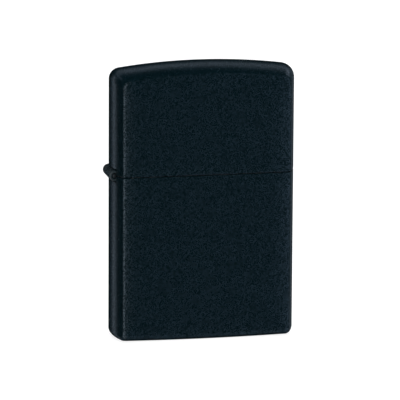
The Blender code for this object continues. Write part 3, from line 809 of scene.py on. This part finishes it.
def make_wheel(hard_steel, steel):
    """Flint wheel with crossing file teeth and a plain hub each side."""
    low, high = low_high("flint_wheel")
    radius = (high.x - low.x) / 2
    rim, teeth, cut_depth = 2.5, 44, 0.26
    segments, bands = teeth * 12, 30
    verts = []
    for i in range(bands + 1):
        y = -rim + 2 * rim * i / bands
        edge = max(0.0, abs(y) - (rim - 0.25)) / 0.25
        for k in range(segments):
            turn = 2 * math.pi * k / segments
            slant = turn * teeth + y * 2.2
            counter = turn * teeth - y * 2.2
            groove = max(tooth(slant), 0.7 * tooth(counter))
            r = radius - cut_depth * groove - 0.22 * (1 - math.sqrt(max(0.0, 1 - edge * edge)))
            verts.append((WHEEL.x + r * math.cos(turn), y, WHEEL.z + r * math.sin(turn)))
    faces = ring_faces(segments, bands + 1)
    side = [(radius - 0.75, rim - 0.05), (radius - 1.05, rim - 0.25), (2.75, rim - 0.25),
            (2.6, rim), (2.4, rim + 0.25), (2.4, high.y - 0.15), (2.25, high.y),
            (1.05, high.y), (0.95, high.y - 0.1)]
    for sign in (-1, 1):
        previous = [(0 if sign < 0 else bands) * segments + k for k in range(segments)]
        for r, y in side:
            ring = list(range(len(verts), len(verts) + segments))
            for k in range(segments):
                turn = 2 * math.pi * k / segments
                verts.append((WHEEL.x + r * math.cos(turn), sign * y, WHEEL.z + r * math.sin(turn)))
            for k in range(segments):
                m = (k + 1) % segments
                faces.append((previous[k], previous[m], ring[m], ring[k]))
            previous = ring
        if sign < 0:
            near = previous
    faces += [(near[k], near[(k + 1) % segments], previous[(k + 1) % segments], previous[k])
              for k in range(segments)]
    wheel = mesh_object("spark_wheel", verts, faces, 30)
    finish_piece(wheel, hard_steel, "wheel", "wheel_steel", "flint_wheel")

    half = low_high("wheel_axle")[1].y
    head = [(0.2, -half), (0.8, -half + 0.05), (1.25, -half + 0.14), (1.5, -half + 0.26),
            (1.55, -half + 0.36), (0.9, -half + 0.38)]
    profile = head + [(r, -y) for r, y in reversed(head)]
    axle = turned("wheel_axle_rivet", profile, "Y", (WHEEL.x, WHEEL.z), 56)
    finish_piece(axle, steel, "case", "insert_steel", "wheel_axle")


def tooth(phase):
    """Saw shape from 0 at a tooth's tip to 1 at its root."""
    step = (phase / (2 * math.pi)) % 1.0
    return step / 0.72 if step < 0.72 else (1.0 - step) / 0.28


# ---------------------------------------------------------------- flint column

def make_flint_column(yellow, steel, flint_material):
    centre = (WHEEL.x, 0.0)
    low, high = low_high("flint_tube")
    flange = ring_loop(1.6, 1.3, low.z, high.z, 0.07)
    tube = turned("flint_tube_body", flange, "Z", centre, 56, hollow=True)
    finish_piece(tube, yellow, "case", "brass", "flint_tube")

    low, high = low_high("flint")
    flint = turned("flint_stick", rounded_ends(1.2, low.z, high.z, 0.15), "Z", centre, 48)
    roughen(flint, 0.02, 1.5)
    finish_piece(flint, flint_material, "flint_feed", "flint", "flint")

    low, high = low_high("flint_tip")
    profile = [(0.45, low.z), (0.6, low.z + 0.15), (0.6, low.z + 1.6), (1.05, low.z + 1.6),
               (1.15, low.z + 1.7), (1.15, high.z - 0.12), (1.02, high.z)]
    tip = turned("flint_push_tip", profile, "Z", centre, 48)
    finish_piece(tip, yellow, "flint_feed", "brass", "flint_tip")

    low, high = low_high("flint_spring")
    wire, turns = 0.18, 14
    coil = wire_helix("flint_coil_spring", WHEEL.x, low.z + wire, high.z - wire, turns, 0.95,
                      wire, 10, 40)
    finish_piece(coil, steel, "case", "insert_steel", "flint_spring")
    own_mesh(coil)

    low, high = low_high("flint_screw")
    profile = [(2.0, low.z), (2.2, low.z + 0.08), (2.3, low.z + 0.22), (2.3, low.z + 0.95),
               (2.2, low.z + 1.1), (1.15, low.z + 1.1)]
    thread = []
    turns = 6
    for i in range(turns * 2):
        z = low.z + 1.3 + (high.z - low.z - 1.5) * i / (turns * 2)
        thread.append((1.15 if i % 2 else 1.0, z))
    profile += thread + [(1.1, high.z - 0.15), (0.95, high.z)]
    screw = turned("flint_column_screw", profile, "Z", centre, 56)
    combine(screw, [block("slot", (WHEEL.x - 4, WHEEL.x + 4), (-0.3, 0.3),
                          (low.z - 1, low.z + 0.5))])
    bevel(screw, 0.03, 1, 50)
    finish_piece(screw, yellow, "case", "brass", "flint_screw")


def wire_helix(name, centre_x, start, end, turns, radius, wire, sides, per_turn):
    """Round wire wound evenly from level start to level end; wire is its radius."""
    steps = turns * per_turn
    verts = []
    for i in range(steps + 1):
        turn = 2 * math.pi * i / per_turn
        z = start + (end - start) * i / steps
        for k in range(sides):
            angle = 2 * math.pi * k / sides
            reach = radius + wire * math.cos(angle)
            verts.append((centre_x + reach * math.cos(turn), reach * math.sin(turn),
                          z + wire * math.sin(angle)))
    faces = end_caps(sides, steps + 1) + ring_faces(sides, steps + 1)
    return mesh_object(name, verts, faces, 60)


def roughen(obj, depth, features):
    """Pushes points along their normals by noise, depth in millimetres, features per millimetre."""
    for v in obj.data.vertices:
        v.co += v.normal * depth * MM * noise.noise(v.co * per_mm(features))


# ---------------------------------------------------------------- wick and packing

def make_wick(cotton_material, copper_material):
    low, high = low_high("wick")
    centre_x = (low.x + high.x) / 2
    radius = (high.x - low.x) / 2
    strands, pitch = 10, 5.2
    segments = strands * 12
    rows = int((high.z - low.z) / 0.16)
    verts = []
    for i in range(rows + 1):
        z = low.z + (high.z - low.z) * i / rows
        end = min(1.0, (high.z - z) / 0.7, (z - low.z) / 0.4)
        body = radius * (0.82 + 0.14 * math.sqrt(max(0.0, end)))
        for k in range(segments):
            turn = 2 * math.pi * k / segments
            lift = braid(turn * strands / 2, 2 * math.pi * z / pitch)
            r = (body - 0.16 + 0.16 * lift) * (1 if end > 0.25 else 0.93)
            verts.append((centre_x + r * math.cos(turn), r * math.sin(turn), z))
    faces = ring_faces(segments, rows + 1) + end_caps(segments, rows + 1)
    wick = mesh_object("braided_wick", verts, faces, 60)
    finish_piece(wick, cotton_material, "case", "cotton", "wick")

    strand_foot, wire = 37.5, 0.09
    turns = int((high.z - strand_foot - 0.5) / pitch * 2) + 1
    strand = wire_helix("wick_copper_strand", centre_x, strand_foot, high.z - 0.8, turns,
                        radius * 0.93, wire, 8, 36)
    finish_piece(strand, copper_material, "case", "cotton")

    rng = random.Random(7)
    hairs = []
    for _ in range(70):
        turn = rng.uniform(0, 2 * math.pi)
        out = radius * math.sqrt(rng.uniform(0.02, 0.75))
        base = Vector((centre_x + out * math.cos(turn), out * math.sin(turn), high.z - 0.35))
        lean = Vector((math.cos(turn) * rng.uniform(-0.1, 0.25),
                       math.sin(turn) * rng.uniform(-0.1, 0.25), rng.uniform(0.25, 0.6)))
        hairs.append(fibre_tuft(base, lean, 0.05))
    frayed = join("wick_frayed_end", hairs)
    shade(frayed, 60)
    finish_piece(frayed, cotton_material, "case", "cotton")


def fibre_tuft(base, lean, thick):
    """A short tapered strand."""
    verts = []
    sides, rows = 6, 4
    for i in range(rows + 1):
        t = i / rows
        centre = base + lean * t + Vector((0.06 * math.sin(3 * t + base.x * 9), 0, 0))
        r = thick * (1 - 0.7 * t)
        for k in range(sides):
            turn = 2 * math.pi * k / sides
            verts.append((centre.x + r * math.cos(turn), centre.y + r * math.sin(turn), centre.z))
    faces = ring_faces(sides, rows + 1) + end_caps(sides, rows + 1)
    return mesh_object("tuft", verts, faces, 60)


def braid(across, along):
    """Height of two sets of strands that cross over and under each other, from 0 to 1."""
    left = (across + along) / 2
    right = (across - along) / 2
    first = abs(math.cos(left)) ** 0.7
    second = abs(math.cos(right)) ** 0.7
    over = 0.5 + 0.5 * math.sin(left) * math.sin(right) * 1.6
    over = min(1.0, max(0.0, over))
    return max(first * over, second * (1 - over))


def make_packing(rayon_material, felt_material):
    for number in range(1, 6):
        node = f"packing_ball_{number}"
        low, high = low_high(node)
        centre, half = (low + high) / 2, (high - low) / 2
        bm = bmesh.new()
        bmesh.ops.create_icosphere(bm, subdivisions=5, radius=1.0)
        for v in bm.verts:
            way = v.co.normalized()
            tuft = noise.fractal(way * 3.1 + Vector((number, 0, 0)), 0.6, 2.2, 5)
            fold = abs(noise.noise(way * 1.7 + Vector((0, number * 3, 0))))
            reach = 0.95 + 0.05 * tuft - 0.10 * (1 - min(1.0, fold * 6))
            v.co = Vector([centre[k] + half[k] * 1.02 * reach * way[k] for k in range(3)]) * MM
        mesh = bpy.data.meshes.new(f"cotton_ball_{number}")
        bm.to_mesh(mesh)
        bm.free()
        ball = bpy.data.objects.new(f"cotton_ball_{number}", mesh)
        bpy.context.scene.collection.objects.link(ball)
        shade(ball, 80)
        finish_piece(ball, rayon_material, "case", "packing", node)

    low, high = low_high("felt_pad")
    centre_x = (low.x + high.x) / 2
    edge = 0.35
    rings = [(low.z + rise, inward) for rise, inward in reversed(quarter_round(edge, 5))]
    rings = rings + [(low.z + high.z - z, inset) for z, inset in reversed(rings)]
    verts = []
    plan = rounded_plan(low.x, high.x, high.y, 1.6, 10)
    dense = []
    for (x0, y0), (x1, y1) in zip(plan, plan[1:] + plan[:1]):
        steps = max(1, int(math.hypot(x1 - x0, y1 - y0) / 0.5))
        dense += [(x0 + (x1 - x0) * i / steps, y0 + (y1 - y0) * i / steps) for i in range(steps)]
    for z, inset in rings:
        for x, y in dense:
            shrink = 1 - inset / high.y
            across = (x - centre_x) * (1 - inset / (high.x - centre_x))
            verts.append((centre_x + across, y * shrink, z))
    faces = ring_faces(len(dense), len(rings)) + end_caps(len(dense), len(rings))
    pad = mesh_object("felt_bottom_pad", verts, faces, 50)
    combine(pad, [turned("hole", ((2.6, 0), (2.6, 6)), "Z", (WHEEL.x, 0), 48)])
    roughen(pad, 0.06, 1.1)
    shade(pad, 50)
    finish_piece(pad, felt_material, "case", "felt", "felt_pad")


# ---------------------------------------------------------------- studio

AIM = Vector((0.0, 0.0, LID_HIGH.z / 2))
CAMERA_AZIMUTH = -12.2
CAMERA_ELEVATION = 12.2
CAMERA_DISTANCE = 924.0
CAMERA_LENS = 405.9
CAMERA_ROLL = 0.338
CAMERA_SHIFT = (-0.0022, -0.0067)
SENSOR_WIDTH = 36.0
CLIP_RANGE = (0.1, 20.0)
FLOOR_RADIUS, FLOOR_TOP, FLOOR_UNDER = 4000.0, -0.03, -30.0
WALL_RADIUS, WALL_FOOT, WALL_TOP, WALL_CROWN = 5000.0, -31.0, 6000.0, (100.0, 6100.0)


def direction(azimuth, elevation):
    """Unit vector towards a place round the object: azimuth 0 is the front, 90 the right side."""
    a, e = math.radians(azimuth), math.radians(elevation)
    return Vector((math.sin(a) * math.cos(e), -math.cos(a) * math.cos(e), math.sin(e)))


def make_camera():
    camera = bpy.data.objects.new("camera", bpy.data.cameras.new("camera"))
    bpy.context.scene.collection.objects.link(camera)
    back = direction(CAMERA_AZIMUTH, CAMERA_ELEVATION)
    camera.location = (AIM + back * CAMERA_DISTANCE) * MM
    camera.rotation_mode = "QUATERNION"
    level = (-back).to_track_quat("-Z", "Y")
    camera.rotation_quaternion = level @ Quaternion((0, 0, 1), math.radians(CAMERA_ROLL))
    camera.data.sensor_width = SENSOR_WIDTH
    camera.data.lens = CAMERA_LENS
    camera.data.clip_start, camera.data.clip_end = CLIP_RANGE
    camera.data.shift_x, camera.data.shift_y = CAMERA_SHIFT
    bpy.context.scene.camera = camera


def soft_light(name, azimuth, elevation, distance, size, power):
    """A square soft light aimed at the object, kept out of its reflections; metres and watts."""
    data = bpy.data.lights.new(name, "AREA")
    data.shape = "SQUARE"
    data.size = size
    data.energy = power
    light = bpy.data.objects.new(name, data)
    light.location = AIM * MM + direction(azimuth, elevation) * distance
    light.rotation_mode = "QUATERNION"
    light.rotation_quaternion = (-direction(azimuth, elevation)).to_track_quat("-Z", "Y")
    light.visible_glossy = False
    bpy.context.scene.collection.objects.link(light)


def plain_white(name, grey, glow):
    material = bpy.data.materials.new(name)
    material.use_nodes = True
    shader = material.node_tree.nodes["Principled BSDF"]
    shader.inputs["Base Color"].default_value = (grey, grey, grey, 1.0)
    shader.inputs["Roughness"].default_value = 0.9
    shader.inputs["Specular IOR Level"].default_value = 0.0
    shader.inputs["Emission Color"].default_value = (1.0, 1.0, 1.0, 1.0)
    shader.inputs["Emission Strength"].default_value = glow
    return material


def make_stage():
    """White floor and far white wall, kept out of the object's reflections."""
    floor_edge = ((FLOOR_RADIUS, FLOOR_UNDER), (FLOOR_RADIUS, FLOOR_TOP))
    wall_edge = ((WALL_RADIUS, WALL_FOOT), (WALL_RADIUS, WALL_TOP), WALL_CROWN)
    floor = turned("floor", floor_edge, "Z", (0, 0))
    wall = turned("backdrop", wall_edge, "Z", (0, 0))
    for obj, grey, glow in ((floor, 0.35, 0.86), (wall, 0.0, 1.0)):
        obj.data.materials.append(plain_white(obj.name, grey, glow))
        obj.visible_glossy = False
    wall.visible_diffuse = False
    wall.visible_shadow = False


class Surroundings:
    """Soft studio surroundings that the metal and coating reflect, as a world of broad panels."""

    def __init__(self, **tints):
        world = bpy.data.worlds.new("studio")
        bpy.context.scene.world = world
        world.use_nodes = True
        self.tree = world.node_tree
        self.tree.nodes.remove(self.tree.nodes["Background"])
        way = self.add("ShaderNodeTexCoord", {}, "Generated")
        self.rise = self.add("ShaderNodeSeparateXYZ", {0: way}, "Z")
        level_way = self.add("ShaderNodeVectorMath", {0: way, 1: (1.0, 1.0, 0.0)}, 0,
                             operation="MULTIPLY")
        self.flat = self.add("ShaderNodeVectorMath", {0: level_way}, 0, operation="NORMALIZE")
        self.tints = tints
        self.lights = {name: 0.0 for name in tints}

    def add(self, kind, inputs, output=0, **settings):
        return add_node(self.tree, kind, inputs, output, settings)

    def math(self, operation, a, b=0.0):
        return self.add("ShaderNodeMath", {0: a, 1: b}, operation=operation)

    def step(self, value, start, end):
        return self.add("ShaderNodeMapRange", {
            "Value": value, "From Min": start, "From Max": end, "To Min": 0.0, "To Max": 1.0},
            interpolation_type="SMOOTHSTEP")

    def panel(self, azimuth, half_width, low, high, soft=6.0):
        """Mask of a panel: azimuth as for the camera, all angles in degrees."""
        facing = self.add("ShaderNodeVectorMath", {0: self.flat, 1: direction(azimuth, 0)}, "Value",
                          operation="DOT_PRODUCT")
        across = self.step(facing, cosine(half_width + soft), cosine(half_width))
        above = self.step(self.rise, sine(low - soft), sine(low))
        below = self.step(self.rise, sine(high + soft), sine(high)) if high < 90 else 1.0
        return self.math("MULTIPLY", self.math("MULTIPLY", across, above), below)

    def even(self, tint, strength):
        self.lights[tint] = strength

    def bright(self, tint, strength, *panel, **soft):
        glow = self.math("MULTIPLY", self.panel(*panel, **soft), strength)
        self.lights[tint] = self.math("ADD", self.lights[tint], glow)

    def dark(self, share, *panel, **soft):
        keep = self.math("SUBTRACT", 1.0, self.math("MULTIPLY", self.panel(*panel, **soft), share))
        for tint, light in self.lights.items():
            self.lights[tint] = self.math("MULTIPLY", light, keep)

    def finish(self):
        total = None
        for name, tint in self.tints.items():
            glow = self.add("ShaderNodeBackground", {
                "Color": (*tint, 1.0), "Strength": self.lights[name]})
            total = self.add("ShaderNodeAddShader", {0: total, 1: glow}) if total else glow
        self.tree.links.new(total, self.tree.nodes["World Output"].inputs["Surface"])


def cosine(degrees):
    return math.cos(math.radians(degrees))


def sine(degrees):
    return math.sin(math.radians(degrees))


def make_surroundings():
    studio = Surroundings(haze=(0.68, 0.95, 1.20), cool=(0.80, 0.91, 1.05), plain=(1.06, 1.04, 1.0))
    studio.even("haze", 0.068)
    studio.dark(0.98, 174, 24, -70, 18)
    studio.dark(1.0, 180, 90, 52, 90)
    studio.dark(0.7, 0, 90, 32, 90, soft=14)
    studio.dark(1.0, -120, 15, -70, 30)
    studio.dark(0.9, 0, 180, -89, -60)
    studio.bright("cool", 0.62, -139.5, 4, -60, 20, soft=5)
    studio.bright("plain", 1.45, -35, 10, -70, 20, soft=30)
    studio.bright("cool", 0.37, 180, 60, 32, 44)
    studio.bright("cool", 0.6, 50, 16, -60, 40, soft=22)
    studio.bright("cool", 0.5, 125, 15, 30, 45)
    studio.bright("cool", 0.14, 128, 14, -60, 26, soft=10)
    studio.bright("cool", 0.32, 0, 100, -44, -35, soft=8)
    studio.finish()


def make_studio():
    scene = bpy.context.scene
    scene.view_settings.view_transform = "Standard"
    scene.view_settings.look = "None"
    make_stage()
    make_surroundings()
    soft_light("overhead", 0, 80, 1.2, 1.6, 15.0)
    soft_light("front_fill", 25, 35, 1.5, 1.0, 6.0)
    make_camera()


# ---------------------------------------------------------------- build

def main():
    coat = black_coating()
    steel = brushed_steel()
    plain_steel = brushed_steel("bright_steel", (0.60, 0.60, 0.61), "X", 0.24)
    hard = rough_steel()
    yellow = brass()
    make_case(coat)
    make_hinge(worn_coating(), darkened_pin())
    make_insert(steel)
    make_windscreen(steel)
    make_cam(plain_steel, yellow)
    make_wheel(hard, plain_steel)
    make_flint_column(yellow, plain_steel, flint_alloy())
    make_wick(fibre("cotton", (0.84, 0.82, 0.76), (0.55, 0.52, 0.45), 7, 0.05), copper())
    make_packing(fibre("rayon", (0.90, 0.89, 0.86), (0.66, 0.65, 0.62), 4, 0.10),
                 fibre("felt", (0.66, 0.64, 0.60), (0.38, 0.36, 0.33), 5, 0.08))
    make_studio()


main()
